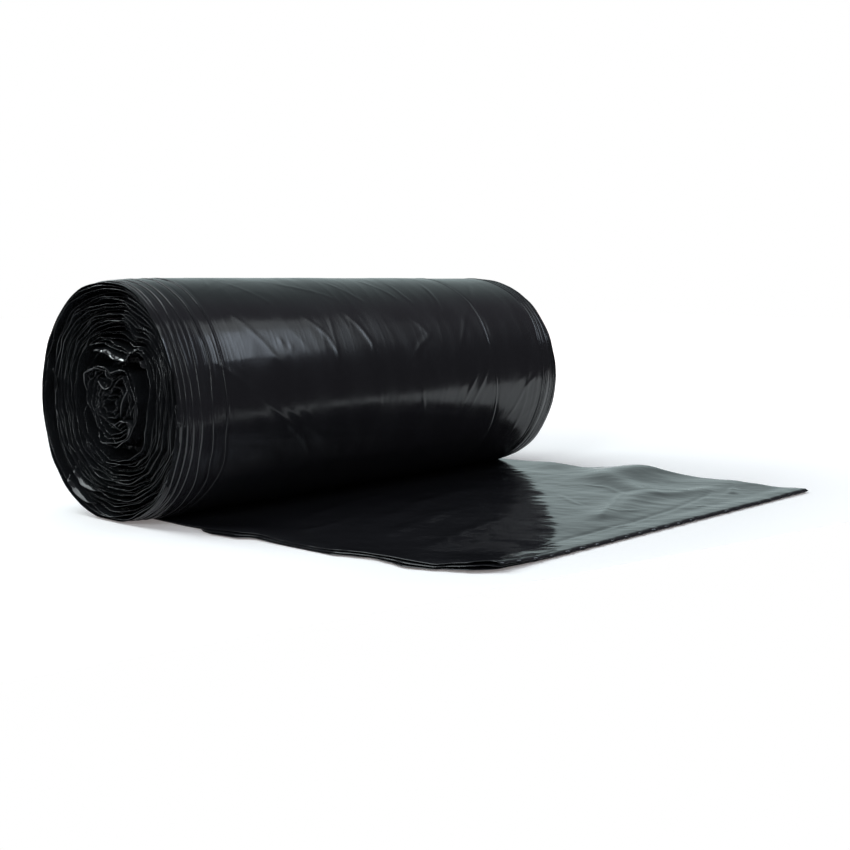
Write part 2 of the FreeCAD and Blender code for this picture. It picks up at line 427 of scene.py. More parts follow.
@dataclass(frozen=True)
class Ply:
    """One of the outer plies: how deep it lies and where its folded edges run, by bearing in degrees."""

    name: str
    depth: float
    left: Corners
    right: Corners


@dataclass
class OuterPlies:
    """The outermost turns: the tight film between the two ends, with its folded edges as steps.

    A ply's columns crowd in a band at each edge, where its folds and steps are.  Each band is a width in
    millimetres and a share of the columns.  Plies down to the depth wide_down_to show between their edges,
    and the deeper ones only at them.
    """

    form: RollForm
    wide_bands: Point = (4.0, 0.08)
    left_band: Point = (9.0, 0.4)
    right_band: Point = (7.0, 0.28)
    turned_under: float = 0.03
    fold: float = 0.16
    wide_down_to: float = 0.2
    wide_columns: int = 236
    narrow_columns: int = 96
    rows: int = 290
    outer_width: float = 174.0
    inner_width: float = 226.0
    girth: float = 314.0
    plies: tuple[Ply, ...] = (
        Ply(
            "ply_outer",
            0.00,
            (
                (-180, -101), (-90, -106), (-60, -103), (-30, -100.5), (-10, -102.6), (15, -102.6),
                (50, -101), (85, -99), (180, -101),
            ),
            (
                (-180, 71), (-90, 76), (-28, 72.8), (-6, 71.4), (12, 68.8), (40, 69.8), (68, 69), (120, 70),
                (180, 71),
            ),
        ),
        Ply(
            "ply_second",
            0.14,
            (
                (-180, -106), (-90, -108), (-38, -105.8), (-24, -107.9), (0, -109.8), (32, -108),
                (60, -107), (85, -104.8), (180, -106),
            ),
            (
                (-180, 111), (-90, 111), (-48, 109.4), (-20, 108.8), (14, 109.8), (43, 113), (75, 111),
                (180, 111),
            ),
        ),
        Ply(
            "ply_third",
            0.28,
            (
                (-180, -112), (-90, -110.5), (-59, -110), (-44, -111), (-18, -113.8), (10, -115),
                (50, -113.5), (90, -112), (180, -112),
            ),
            (
                (-180, 115), (-90, 114), (-45, 112.2), (-15, 112), (14, 114), (43, 116.5), (80, 115),
                (180, 115),
            ),
        ),
        Ply(
            "ply_fourth",
            0.42,
            (
                (-180, -117), (-90, -115.5), (-40, -116.2), (4, -117.9), (30, -118.6), (69, -116.2),
                (180, -117),
            ),
            ((-180, 119.5), (-90, 119), (-45, 117), (0, 117.5), (40, 120), (80, 119), (180, 119.5)),
        ),
        Ply(
            "ply_fifth",
            0.56,
            (
                (-180, -119.5), (-90, -118.5), (-40, -119.2), (10, -120.4), (45, -121.0), (90, -119.6),
                (180, -119.5),
            ),
            ((-180, 121.5), (-60, 121), (20, 120.6), (90, 121.8), (180, 121.5)),
        ),
        Ply(
            "ply_sixth",
            0.70,
            (
                (-180, -121.8), (-90, -121), (-20, -122.3), (30, -122.8), (70, -121.8), (120, -122.4),
                (180, -121.8),
            ),
            ((-180, 123.2), (-50, 122.6), (40, 123.0), (120, 122.8), (180, 123.2)),
        ),
    )
    creases: tuple[Crease, ...] = (
        Crease(((-107, 18.7), (-103, 16.3), (-75, -4.7), (-59, -17.5), (-50, -27)), 0.28, 0.81),
        Crease(((-92, 47), (-82, 32), (-73, 18), (-66, 9)), 0.13, 1.18),
        Crease(((-54, 44), (-40, 26.5), (-38, 19), (-38, 12)), 0.15, 0.99),
        Crease(((-32, 45), (-36.6, 27.6), (-37.6, 18), (-40, 0)), 0.11, 0.87),
        Crease(((-26, 45), (-17, 28), (-11, 16), (-9, 6)), 0.17, 1.24),
        Crease(((-21, 40), (-15, 22), (-15.6, 12), (-13.5, -9), (-13, -20)), 0.12, 0.93),
        Crease(((17, 37), (26, 25), (17, 20), (8, 12)), 0.20, 1.49),
        Crease(((92, 66), (75, 48), (57, 33), (43.7, 15.4)), 0.19, 0.99),
        Crease(((40, -17), (51, -1), (56, 6)), 0.27, 0.74),
        Crease(((47, -17), (60, 1), (66, 12)), 0.27, 0.81),
        Crease(((13.5, 2), (16.5, -14)), 0.22, 0.74),
        Crease(((-71, -2), (-61, -10), (-47, -18)), 0.22, 0.74),
        Crease(((-61, -3), (-50, -15)), 0.18, 0.74),
        Crease(((-50, 66), (-29, 54), (-20, 47)), 0.13, 0.99),
        Crease(((-16, 68), (-8, 50), (-4, 44)), 0.12, 0.93),
        Crease(((8, 72), (16.5, 54), (20, 46)), 0.12, 0.93),
        Crease(((26, 66), (25.5, 51), (28, 42)), 0.15, 0.87),
        Crease(((50, 64), (46, 45), (42, 34)), 0.19, 0.93),
        Crease(((-77, 76), (-87, 59)), 0.11, 0.81),
        Crease(((-76, 68), (-65, 51), (-60, 42)), 0.11, 0.99),
        Crease(((-69, 27), (-67, 24)), 0.15, 0.81),
        Crease(((-64, 24), (-62.5, 21.5)), 0.13, 0.74),
        Crease(((96, 60), (98, 20), (95, -20), (91, -44)), 0.15, 0.87),
        Crease(((104, 54), (105, 10), (103, -30)), 0.15, 0.74),
        Crease(((84, -22), (93, -6), (104, 2)), 0.24, 0.87),
        Crease(((80, -30), (88, -40), (99, -52)), 0.17, 0.99),
    )

    def relief(self, x: float, bearing: float) -> float:
        """How far the film stands out at a place, from slack, creases and the pull of winding.

        Args:
            x: along the axis.
            bearing: radians from the front.

        Returns:
            Height in millimetres.
        """
        along = self.form.radius * bearing
        slack = noise.noise(Vector((x / 46, 1.1 * math.cos(bearing), 1.1 * math.sin(bearing))))
        pull = math.radians(-90 + 52 * between(x, ((-124, 1.0), (-10, 0.0), (124, -0.9))))
        across = x * math.sin(pull) - along * math.cos(pull)
        down = x * math.cos(pull) + along * math.sin(pull)
        taut = noise.noise(Vector((across / 5.5, down / 42, 3.7)))
        wrinkle = (1 - abs(taut)) ** 6
        patch = smooth_step(0.9 + 1.3 * noise.noise(Vector((x / 30, along / 34, 9.1))))
        fade = smooth_step((math.pi / 2 - abs(bearing) + 1.2) / 0.8)
        sharp = sum(crease.relief(x, along) for crease in self.creases) if abs(bearing) < 1.9 else 0.0
        return 0.35 * slack + 0.06 * wrinkle * patch * fade + 0.85 * sharp - 0.05

    def edges(self, ply: Ply, bearing: float) -> Point:
        """Where a ply's two folded edges run at a bearing, with the unevenness of winding.

        Args:
            ply: the ply.
            bearing: radians from the front.

        Returns:
            The left and right edge, in millimetres along the axis.
        """
        turned = math.degrees(math.remainder(bearing, 2 * math.pi))
        wobble = 0.35 * noise.noise(Vector((3 * math.cos(bearing), 3 * math.sin(bearing), 50 - ply.depth)))
        return between(turned, ply.left) + wobble, between(turned, ply.right) - wobble

    def spread(self, share: float, left: float, right: float, wide: bool) -> float:
        """Where a column of a ply lies along the axis.

        Args:
            share: the column, from 0 at the left edge to 1 at the right.
            left: the left edge, in millimetres.
            right: the right edge.
            wide: whether the ply shows between its edges, and not only at them.

        Returns:
            Millimetres along the axis.
        """
        if wide:
            band, crowd = self.wide_bands
            rim = min(share, 1 - share)
            rest = max(rim - crowd, 0.0) / (0.5 - crowd) * ((right - left) / 2 - band)
            inwards = min(rim / crowd, 1.0) * band + rest
            return left + inwards if share < 0.5 else right - inwards
        (left_band, left_crowd), (right_band, right_crowd) = self.left_band, self.right_band
        if share < left_crowd:
            return left + left_band * share / left_crowd
        if share > 1 - right_crowd:
            return right - right_band * (1 - share) / right_crowd
        middle = (share - left_crowd) / (1 - left_crowd - right_crowd)
        return left + left_band + (right - left - left_band - right_band) * middle

    def build(self, material: bpy.types.Material) -> None:
        """Build each ply as a tube whose two edges are folded back under it.

        Args:
            material: the film's finish.
        """
        above: Ply | None = None
        for ply in self.plies:
            wide = ply.depth < self.wide_down_to

            def place(across: float, along: float) -> Vector:
                """A place on this ply, which sinks a little where the ply above hides it."""
                bearing = math.radians(-90 + 360 * along)
                left, right = self.edges(ply, bearing)
                share = min(max((across - self.turned_under) / (1 - 2 * self.turned_under), 0.0), 1.0)
                x = self.spread(share, left, right, wide)
                rounded = math.remainder(bearing, 2 * math.pi)
                radius = self.form.radius - ply.depth
                radius += self.relief(x, rounded) - self.form.shoulder(x, rounded)
                right_bulge = 0.12 if above is None else 0.28
                radius += 0.12 * bell((x - left - 0.6) / 0.4) + right_bulge * bell((right - x - 0.7) / 0.45)
                if above is not None:
                    over_left, over_right = self.edges(above, bearing)
                    inside = min(x - over_left, over_right - x)
                    radius -= 0.4 * smooth_step((inside - 4) / 6) + 0.24 * bell((inside + 0.5) / 0.55)
                side = -1 if across < 0.5 else 1
                hidden = 1 - min(across, 1 - across) / self.turned_under
                if hidden > 0:
                    turn = min(hidden * 2.5, 1.0) * math.pi
                    x += side * self.fold * math.sin(turn) - side * 2.5 * max(hidden - 0.4, 0.0)
                    radius -= self.fold * (1 - math.cos(turn))
                return self.form.place(x, bearing, radius)

            extent = (self.outer_width if above is None else self.inner_width, self.girth)
            columns = self.wide_columns if wide else self.narrow_columns
            piece = mapped_grid(ply.name, columns, self.rows, extent, place, closed=True)
            dress(piece, material)
            above = ply


FOLDED_EDGE: Corners = (
    (0.0, 1.0), (0.0, 0.3), (0.0, 0.12), (0.06, 0.04), (0.26, 0.008), (0.5, 0.0),
    (0.74, 0.008), (0.94, 0.04), (1.0, 0.12), (1.0, 0.3), (1.0, 1.0),
)


def folded_edge_shares(thick: float, deep: float) -> tuple[float, ...]:
    """Where the places of a folded edge lie on the flat film.

    Args:
        thick: the fold's thickness in millimetres.
        deep: how deep it reaches into the roll.

    Returns:
        A share from 0 to 1 for each place.
    """
    reached = [0.0]
    for (pa, da), (pb, db) in zip(FOLDED_EDGE, FOLDED_EDGE[1:]):
        reached.append(reached[-1] + math.hypot((pb - pa) * thick, (db - da) * deep))
    return tuple(length / reached[-1] for length in reached)


@dataclass(frozen=True)
class LooseFold:
    """A fold that stands loose in the end of the roll, drawn across it by Y and by height over the axis.

    Its tip leans over by so many millimetres, which turns a broad bright flank outwards.
    """

    name: str
    places: Corners
    tuck: float
    lean: float
    thick: float = 0.5
    deep: float = 11.0

    def build(self, form: RollForm, side: int, material: bpy.types.Material) -> None:
        """Build the fold as a folded edge that runs through its places.

        Args:
            form: the roll's form.
            side: which end it stands in, -1 or 1.
            material: the end face's film, its colour darkened as painted shade.
        """
        spans = [math.dist(a, b) for a, b in zip(self.places, self.places[1:])]
        length = sum(spans)

        def place(across: float, along: float) -> Vector:
            """A place on the fold."""
            left, i = along * length, 0
            while i < len(spans) - 1 and left > spans[i]:
                left -= spans[i]
                i += 1
            (ya, za), (yb, zb) = self.places[i], self.places[i + 1]
            share = min(left / spans[i], 1.0)
            out = Vector((-(zb - za), yb - ya)) / spans[i]
            spot = Vector((ya + (yb - ya) * share, za + (zb - za) * share))
            part, depth = FOLDED_EDGE[round(across * (len(FOLDED_EDGE) - 1))]
            shiver = 0.25 * noise.noise(Vector((along * length / 5.0, depth * 5, self.tuck)))
            leant = self.lean * math.sin(math.pi * along) * (1 - smooth_step(depth / 0.2))
            spot += out * ((part - 0.5) * self.thick + leant + shiver)
            end = smooth_step(6 * along) * smooth_step(6 * (1 - along))
            uneven = 1.2 * noise.noise(Vector((along * length / 6, 7.7, self.lean)))
            tuck = self.tuck + 3.0 * (1 - end) + uneven
            x = side * (form.half_length - max(tuck, 0.0) - self.deep * depth)
            return Vector((x, spot.x, max(form.centre + spot.y, form.web_height)))

        rows, shares = max(round(length / 0.6), 12), folded_edge_shares(self.thick, self.deep)
        extent = (2 * self.deep + 1.0, length)
        piece = mapped_grid(self.name, len(FOLDED_EDGE) - 1, rows, extent, place, shares=shares)
        if side > 0:
            piece.data.flip_normals()
        dress(piece, material)


LEFT_FOLDS: tuple[LooseFold, ...] = (
    LooseFold(
        "fold_flap",
        (
            (15.8, 21.1), (7.6, 22.1), (1.3, 22.0), (-4.1, 20.0), (-11.8, 18.9), (-13.7, 21.5),
            (-19.5, 23.0), (-21.9, 20.2),
        ),
        1.2,
        2.0,
        0.9,
    ),
    LooseFold(
        "fold_front_outer",
        (
            (-44.4, 4.4), (-46.6, 4.0), (-47.0, -1.3), (-46.8, -6.5), (-46.0, -11.8), (-43.7, -17.0),
            (-41.2, -20.7),
        ),
        0.2,
        0.9,
    ),
    LooseFold(
        "fold_front_inner",
        (
            (-44.0, 4.2), (-45.0, -1.7), (-45.2, -6.9), (-44.2, -13.4), (-41.4, -18.0),
        ),
        0.6,
        -0.8,
    ),
    LooseFold("fold_low_back", ((28.2, -29.4), (20.4, -34.7), (9.2, -38.6)), 0.5, 1.3),
    LooseFold("fold_back_rim", ((32.4, -33.4), (25.6, -38.6), (13.2, -44.2)), 0.1, 1.4),
    LooseFold("fold_low_front", ((-39.6, -26.5), (-34.8, -32.9), (-27.6, -37.4)), 0.4, -1.2),
    LooseFold("fold_nub", ((-23.5, 18.5), (-24.6, 16.7), (-25.5, 14.8)), 0.4, 1.0),
    LooseFold("fold_high_back", ((37.7, 25.6), (41.5, 20.8), (44.6, 15.4)), 0.4, -1.6),
    LooseFold("fold_back", ((40.7, 13.6), (38.2, 8.9), (37.2, 4.9), (39.2, 0.1)), 0.5, -1.6),
    LooseFold(
        "fold_heart",
        (
            (16.5, 7.2), (16.3, 10.5), (8.1, 13.4), (1.7, 12.1), (-3.2, 9.9), (-1.4, 6.5), (1.3, 5.7),
            (6.4, 8.6), (11.8, 9.5),
        ),
        0.8,
        -0.6,
    ),
    LooseFold(
        "fold_hook",
        (
            (8.9, -3.7), (8.2, 0.6), (3.8, 2.7), (-1.8, 4.0), (-6.7, 9.3), (-11.4, 11.6), (-13.7, 5.2),
            (-10.9, 0.4), (-7.2, -4.4), (-4.4, -6.5),
        ),
        0.6,
        0.6,
    ),
    LooseFold(
        "fold_bundle",
        (
            (11.9, -13.4), (9.6, -16.0), (3.2, -17.3), (-4.7, -17.2), (-11.0, -15.4), (-14.9, -12.6),
            (-16.1, -9.3), (-13.7, -6.7), (-8.6, -6.5), (-3.8, -9.3), (-6.5, -11.5), (-11.5, -11.7),
        ),
        0.6,
        -0.7,
    ),
    LooseFold(
        "fold_round_the_core",
        (
            (18.0, 1.4), (18.2, 7.1), (16.3, 10.8), (8.0, 14.0), (0.9, 13.6), (-3.2, 11.4), (-9.2, 12.9),
            (-13.0, 12.6), (-16.8, 5.3), (-19.5, -0.8), (-18.3, -7.3), (-14.1, -13.6), (-3.9, -18.3),
            (6.4, -18.1),
        ),
        0.4,
        -0.8,
    ),
)


@dataclass
class WoundEnd:
    """The turns that show at one end of the roll: one folded edge of film, wound from core to rim.

    Each outline is a loop of corners, bearing in degrees and radius in millimetres, that the turns
    pass through at the turn named beside it, counted from the core.
    """

    form: RollForm
    name: str
    side: int
    outlines: tuple[tuple[float, Corners], ...]
    recess: Corners
    folds: tuple[LooseFold, ...]
    slump: float
    seed: float
    turns: float = 33.0
    steps: int = 100
    deep: float = 18.0
    film_length: float = 6300.0

    def outline_radius(self, corners: Corners, bearing: float) -> float:
        """Radius of a straight-sided loop at a bearing.

        Args:
            corners: bearing in degrees and radius of each corner, sorted, or none for the round rim.
            bearing: degrees from 0 to 360.

        Returns:
            Radius in millimetres.
        """
        if not corners:
            return self.form.radius - 0.8
        around = ((corners[-1][0] - 360, corners[-1][1]), *corners, (corners[0][0] + 360, corners[0][1]))
        for (ba, ra), (bb, rb) in zip(around, around[1:]):
            if bearing <= bb:
                span = math.sin(math.radians(bb - ba))
                before = math.sin(math.radians(bearing - ba)) / rb
                after = math.sin(math.radians(bb - bearing)) / ra
                return span / (before + after)
        return corners[-1][1]

    def radius(self, turn: float) -> float:
        """Radius of the wound film so many turns from the core.

        Args:
            turn: turns from the core, in whole turns and parts.

        Returns:
            Radius in millimetres.
        """
        drift = 5.0 * noise.noise(Vector((turn * 0.9, self.seed, 0.5)))
        bearing = (360 * turn + drift) % 360
        stops = [(at, self.outline_radius(corners, bearing)) for at, corners in self.outlines]
        for (ta, ra), (tb, rb) in zip(stops, stops[1:]):
            if turn <= tb:
                part = min(max((turn - ta) / (tb - ta), 0.0), 1.0)
                bundle = 0.45 * math.sin(2 * math.pi * turn / 3.3) / (tb - ta) * min(part, 1 - part) * 2
                return ra + (rb - ra) * min(max(part + bundle, 0.0), 1.0)
        return stops[-1][1]

    def build(self, material: bpy.types.Material) -> None:
        """Wind the folded edge and close the roll behind it.

        Args:
            material: the end face's film, its colour darkened as painted shade.
        """

        def place(across: float, along: float) -> Vector:
            """A place on the folded edge."""
            turn = along * self.turns
            bearing = 2 * math.pi * turn
            inner, outer = self.radius(turn), self.radius(min(turn + 1, self.turns))
            room = max(outer - inner, 0.25)
            swelling = abs(noise.noise(Vector((math.cos(bearing), math.sin(bearing), turn * 1.9))))
            thick = min(0.45 * room, 0.48) * (0.6 + 1.1 * swelling)
            part, depth = FOLDED_EDGE[round(across * (len(FOLDED_EDGE) - 1))]
            around = Vector((1.6 * math.cos(bearing), 1.6 * math.sin(bearing), turn * 0.83 + self.seed))
            uneven = 2.2 * noise.noise(around) + 1.0 * noise.noise(around * 2.9)
            free = smooth_step((self.turns - turn) / 3)
            step = between(turn, self.recess) + 2.4 * free * noise.noise(Vector((turn * 1.7, self.seed, 2.2)))
            opened = 5.0 * smooth_step((room - 2.0) / 2.5)
            tuck = max(step + uneven * (0.3 + 0.7 * free) + opened, 0.0)
            lean = 0.8 * min(room, 1.3) * noise.noise(around * 2.2 + Vector((3, 1, 0)))
            radius = inner + part * thick + lean * bell(depth / 0.12)
            sunk = self.slump * (1 - smooth_step(inner / 40))
            x = self.side * (self.form.half_length - tuck - depth * self.deep)
            rim = self.form.radius - 0.75 - self.form.shoulder(x, math.remainder(bearing, 2 * math.pi))
            spot = self.form.place(x, bearing, min(radius, rim))
            return spot + Vector((0, 0, -0.2 * sunk))

        rows = round(self.turns * self.steps)
        shares = folded_edge_shares(0.42, self.deep)
        extent = (2 * self.deep, self.film_length)
        piece = mapped_grid(self.name, len(FOLDED_EDGE) - 1, rows, extent, place, shares=shares)
        if self.side < 0:
            piece.data.flip_normals()
        dress(piece, material)
        for fold in self.folds:
            fold.build(self.form, self.side, material)
        self.close_behind(material)

    def close_behind(self, material: bpy.types.Material) -> None:
        """Put the inside of the roll behind the turns, as one crumpled disc, dark from real shade and from
        the painted shade in its darkened colour.

        Args:
            material: the end face's film, its colour darkened as painted shade.
        """

        def place(across: float, along: float) -> Vector:
            """A place on the disc, whose rim reaches the outer plies."""
            bearing = 2 * math.pi * along
            fold = Vector((7 * across * math.cos(bearing), 7 * across * math.sin(bearing), self.seed))
            deep = 17.0 + 2.5 * noise.noise(fold) + 1.0 * noise.noise(fold * 2.7)
            radius = 0.2 + (self.form.radius - 2.8) * across
            return self.form.place(self.side * (self.form.half_length - deep), bearing, radius)

        piece = mapped_grid(f"{self.name}_inside", 60, 180, (48.0, 300.0), place, closed=True)
        if self.side > 0:
            piece.data.flip_normals()
        dress(piece, material)


LEFT_OUTLINES: tuple[tuple[float, Corners], ...] = (
    (0.0, ((20, 3.0), (110, 1.6), (200, 2.2), (300, 2.6))),
    (4.5, (
        (17, 14.2), (38, 14.7), (50, 12.5), (62, 8.0), (80, 4.6), (112, 8.6), (149, 7.6), (214, 6.5),
        (268, 8.6), (305, 10.2), (340, 12.6),
    )),
    (9.0, (
        (4, 21.2), (26, 20.0), (43, 19.6), (54, 15.4), (66, 12.6), (81, 13.6), (101, 15.1), (125, 16.4),
        (143, 16.9), (178, 14.3), (203, 13.8), (228, 14.8), (254, 15.6), (272, 16.5), (298, 17.1),
        (326, 20.0),
    )),
    (11.0, (
        (4, 27.6), (17, 28.8), (35, 29.8), (46, 28.8), (54, 24.6), (74, 22.4), (93, 23.9), (118, 25.9),
        (135, 26.0), (155, 24.5), (195, 23.4), (214, 23.7), (238, 24.0), (256, 25.2), (279, 24.9),
        (299, 27.2), (318, 28.6), (340, 27.6),
    )),
    (18.0, (
        (4, 37.2), (26, 38.0), (38, 38.4), (46, 37.6), (52, 35.6), (57, 33.0), (66, 35.0), (73, 35.6),
        (89, 33.2), (109, 32.6), (133, 31.5), (154, 30.0), (180, 29.4), (216, 29.2), (246, 29.6),
        (267, 31.0), (292, 33.0), (312, 35.6), (335, 36.6),
    )),
    (26.0, (
        (0, 43.8), (20, 44.6), (42, 44.8), (50, 43.6), (59, 42.2), (75, 41.4), (92, 39.8), (110, 39.4),
        (124, 40.6), (144, 40.0), (166, 38.4), (189, 37.4), (214, 38.0), (232, 39.9), (248, 39.0),
        (269, 39.2), (290, 40.4), (312, 42.8), (335, 44.2),
    )),
    (33.0, ()),
)

RIGHT_OUTLINES: tuple[tuple[float, Corners], ...] = (
    (0.0, ((40, 2.4), (130, 1.8), (220, 2.6), (310, 2.0))),
    (6.0, ((10, 9.0), (50, 12.0), (95, 8.0), (140, 12.4), (190, 10.2), (240, 12.0), (290, 8.6), (330, 11.4))),
    (10.0, (
        (15, 17.6), (60, 19.0), (110, 16.8), (160, 19.2), (205, 17.4), (250, 19.0), (300, 17.6),
        (340, 18.2),
    )),
    (12.0, (
        (15, 23.6), (55, 24.8), (100, 24.2), (150, 25.2), (200, 23.4), (250, 25.0), (300, 24.0),
        (340, 23.6),
    )),
    (20.0, (
        (0, 33.2), (40, 34.4), (80, 33.6), (120, 34.6), (165, 33.4), (210, 34.2), (255, 33.6), (300, 34.4),
        (330, 33.4),
    )),
    (27.0, (
        (0, 41.4), (45, 42.2), (90, 41.6), (140, 42.2), (190, 41.4), (240, 42.0), (290, 41.6), (330, 41.8),
    )),
    (33.0, ()),
)


# The first bag


@dataclass
class FirstBag:
    """The bag that is pulled out flat: its top ply, the loose plies under it and its torn edge."""

    back: float = 6.0
    skew: float = math.radians(2.2)
    length: float = 177.0
    flat_width: float = 236.0
    flat_length: float = 188.0
    film_thickness: float = 0.16
    near_edge: Corners = (
        (-180, -86), (-175.7, -89.7), (-166.3, -97.2), (-157.8, -102.5), (-143.5, -103.3), (-129.2, -104.2),
        (-119.8, -105.9), (-109.6, -106.7), (-94.3, -107.5), (-76.7, -107.3), (-64.1, -110.5), (-50, -112),
        (-42, -110.5), (10, -109),
    )
    lowest_near_edge: Corners = (
        (-178, -88), (-174.9, -93.5), (-170.9, -97.4), (-164.3, -100.2), (-158.2, -103.6), (-149.6, -106.4),
        (-140.6, -104.9), (-131.1, -103.8), (-124.6, -106.2), (-116.5, -108.8), (-106.4, -108.7),
        (-96.3, -108.8), (-84.8, -108.9), (-74.3, -108.6), (-66.2, -112.9), (-53.5, -113.9),
        (-48.7, -112.9), (-40.5, -109.4), (10, -108),
    )
    far_edge: Corners = (
        (-186, 133.5), (-172, 135), (-160, 131.5), (-150, 132), (-138, 136), (-118, 136), (-100, 134.5),
        (-85, 134), (-71, 132), (-62, 125), (-51, 125.5), (-34, 128), (-13, 126), (10, 124),
    )
    ridges: tuple[Crease, ...] = (
        Crease(((112, -78), (94, -106), (79, -132), (58, -142)), 1.1, 8.5),
        Crease(((79, -132), (32, -146), (0, -155)), 1.0, 7.0),
        Crease(((118, -150), (86, -146), (70, -136)), 0.7, 6.0),
        Crease(((117, -157), (101, -165)), 0.5, 2.0),
        Crease(((-73, -167), (-30, -165), (10, -166), (46, -164), (91, -157), (112, -150)), -0.26, 1.4),
        Crease(((-108, -44), (-101, -36), (-90, -28)), 0.5, 1.6),
        Crease(((-95, -52), (-88, -40), (-84, -30)), 0.4, 1.5),
        Crease(((-70, -60), (-30, -48), (10, -42)), 0.5, 3.5),
        Crease(((-60, -90), (-10, -72), (40, -62)), 0.6, 5.0),
        Crease(((-80, -112), (-40, -100), (0, -92)), 0.5, 4.0),
        Crease(((-86, -140), (-50, -128), (-10, -120)), 0.5, 4.5),
        Crease(((-96, -80), (-70, -78), (-50, -70)), 0.4, 3.0),
        Crease(((72.1, -124.3), (37.2, -140.1), (1.9, -156.2)), 0.3, 1.6),
        Crease(((80.2, -126.9), (89.6, -134.8), (94.8, -150.1)), 0.22, 1.3),
        Crease(((47.8, -103.2), (35.5, -120.5), (30.7, -130.5)), 0.2, 1.2),
        Crease(((77.8, -96.6), (78.1, -110.9), (62.6, -132.8)), 0.22, 1.4),
        Crease(((26.8, -139.7), (26.8, -150.8), (41.1, -155.9)), 0.18, 1.2),
        Crease(((138.1, -143.3), (118.1, -156.3), (91.5, -165.6)), 0.15, 1.0),
        Crease(((60.3, -168.7), (67.1, -169.5)), 0.2, 0.9),
        Crease(((-1.4, -168.2), (5.9, -168.7)), 0.2, 0.9),
        Crease(((9.8, -33.4), (40.0, -24.5), (68.2, -25.4)), 0.25, 1.6),
        Crease(((-50.4, -94.8), (-29.8, -92.1), (-12.6, -95.0)), 0.22, 1.5),
    )

    def height(self, x: float, y: float) -> float:
        """How high the film lies over the floor, at a place in millimetres.

        Args:
            x: along the torn edge.
            y: towards the roll.

        Returns:
            Height in millimetres.
        """
        free = smooth_step((-y - 24) / 26)
        hump = 2.7 * bell((y + 96) / 17) * smooth_step((x - 78) / 45)
        curl = 2.2 * bell(math.hypot(x + 94, y + 175) / 22)
        near = 1.1 * bell((x + 106) / 12) * (0.6 + 0.6 * math.sin(y / 11.5 + 0.6))
        far = 0.8 * bell((x - 131) / 14) * (0.5 + 0.5 * math.sin(y / 9))
        ridges = sum(ridge.relief(x, y) for ridge in self.ridges)
        broad = 0.26 * noise.noise(Vector((x / 17, y / 19, 5.5)))
        narrow = 0.09 * noise.noise(Vector((x / 6.2, y / 7.4, 8.8)))
        fine = 0.04 * noise.noise(Vector((x / 2.6, y / 3.1, 1.8)))
        return max(free * (hump + curl + near + far + ridges + broad + narrow + fine + 0.4), 0.0)

    def torn(self, x: float) -> float:
        """Where the torn edge runs, with a short stub left by each bridge of the perforation.

        Args:
            x: along the torn edge.

        Returns:
            Y in millimetres.
        """
        along = (x + 101) / math.cos(self.skew)
        stub = 0.5 * bell((math.remainder(along - 5, 9.3)) / 0.9)
        ragged = 0.35 * noise.noise(Vector((x / 3.0, 2.0, 0.0)))
        return -self.length - (x + 101) * math.tan(self.skew) - stub + ragged

    def ply(
        self,
        name: str,
        lift: float,
        stand_out: float,
        short: float,
        cells: tuple[int, int],
        material: bpy.types.Material,
    ) -> None:
        """Lay one of the bag's plies.

        Args:
            name: the piece's name.
            lift: height over the lowest ply, in millimetres.
            stand_out: how unevenly its near edge runs.
            short: how far its torn edge falls short of the top ply's.
            cells: faces across and along.
            material: the film's finish.
        """

        def place(across: float, along: float) -> Vector:
            """A place on this ply."""
            guess = self.back - along * (self.length + self.back)
            top, lowest = between(guess, self.near_edge), between(guess, self.lowest_near_edge)
            shown = 1 + 0.8 * noise.noise(Vector((guess / 16, lift, 3)))
            left = lowest + (top - lowest) * lift - stand_out * shown
            right = between(guess, self.far_edge) - 1.2 * (1 - lift)
            x = left + (right - left) * across
            end = self.torn(x) + short
            y = self.back + (end - self.back) * along
            height = 0.12 + lift * 0.7 + self.height(x, y) * (0.45 + 0.55 * lift)
            hem = 0.55 * lift * smooth_step((-y - 60) / 60)
            if along > 0.995:
                height -= min(hem + 0.3 * lift, height - 0.1)
                y -= 0.25
            return Vector((x, y, height + hem * smooth_step((along - 0.93) / 0.05)))

        width, length = self.flat_width, self.flat_length
        piece = mapped_grid(name, *cells, (width, length), place)
        piece.data.flip_normals()
        thick = piece.modifiers.new("thickness", "SOLIDIFY")
        thick.thickness = self.film_thickness * MM
        thick.offset = -1.0
        dress(piece, material)

    def build(self, material: bpy.types.Material) -> None:
        """Lay the plies from the floor up.

        Args:
            material: the film's finish.
        """
        self.ply("bag_lowest_ply", 0.0, 0.2, 1.2, (118, 94), material)
        self.ply("bag_middle_ply", 0.5, 0.5, 0.6, (118, 94), material)
        self.ply("bag_top_ply", 1.0, 0.0, 0.0, (240, 166), material)


# Studio


